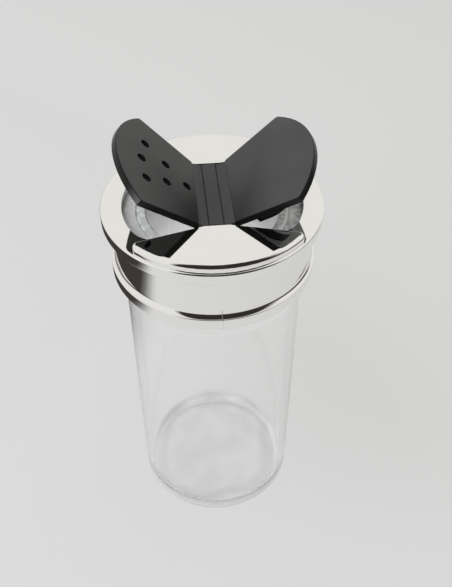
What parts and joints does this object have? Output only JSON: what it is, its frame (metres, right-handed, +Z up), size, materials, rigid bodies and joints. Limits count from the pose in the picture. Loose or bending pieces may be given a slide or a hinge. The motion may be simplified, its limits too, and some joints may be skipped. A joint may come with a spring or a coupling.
{
  "type": "spice jar",
  "caption": "Clear glass spice jar with a chrome screw cap and a black two-way flip top: a perforated flap to sprinkle and a plain flap to pour.",
  "frame": {"origin": "centre of the base, on the surface that the jar stands on", "axes": "+Z up along the jar's axis, the flaps' hinge lines along Y, the sprinkle flap towards -X and the pour flap towards +X"},
  "size_m": [0.052, 0.052, 0.1176],
  "materials": {
    "glass": "clear, polished",
    "seal": "translucent, soft",
    "chrome": "mirror plated",
    "flip_top": "satin, fine grain"
  },
  "bodies": {
    "jar": {"glass_jar": "glass"},
    "seal": {"seal_ring": "seal"},
    "cap": {"cap_shell": "chrome", "hinge_strip": "flip_top", "sprinkle_hinge_web": "flip_top", "pour_hinge_web": "flip_top"},
    "sprinkle": {"sprinkle_flap": "flip_top"},
    "pour": {"pour_flap": "flip_top"}
  },
  "joints": [
    {"name": "cap_lift", "type": "slide", "parent": "jar", "child": "seal", "axis": [0, 0, 1], "range_m": [0, 0.0047]},
    {"name": "cap_turn", "type": "hinge", "parent": "seal", "child": "cap", "pos_m": [0, 0, 0.0984], "axis": [0, 0, 1], "range_deg": [0, 405]},
    {"name": "sprinkle_hinge", "type": "hinge", "parent": "cap", "child": "sprinkle", "pos_m": [-0.00323, 0, 0.10205], "axis": [0, 1, 0], "range_deg": [-41, 54]},
    {"name": "pour_hinge", "type": "hinge", "parent": "cap", "child": "pour", "pos_m": [0.00323, 0, 0.10205], "axis": [0, -1, 0], "range_deg": [-34.5, 60.5]}
  ],
  "couplings": [
    {"joint": "cap_turn", "follows": "cap_lift", "rad_per_m": 1496}
  ]
}
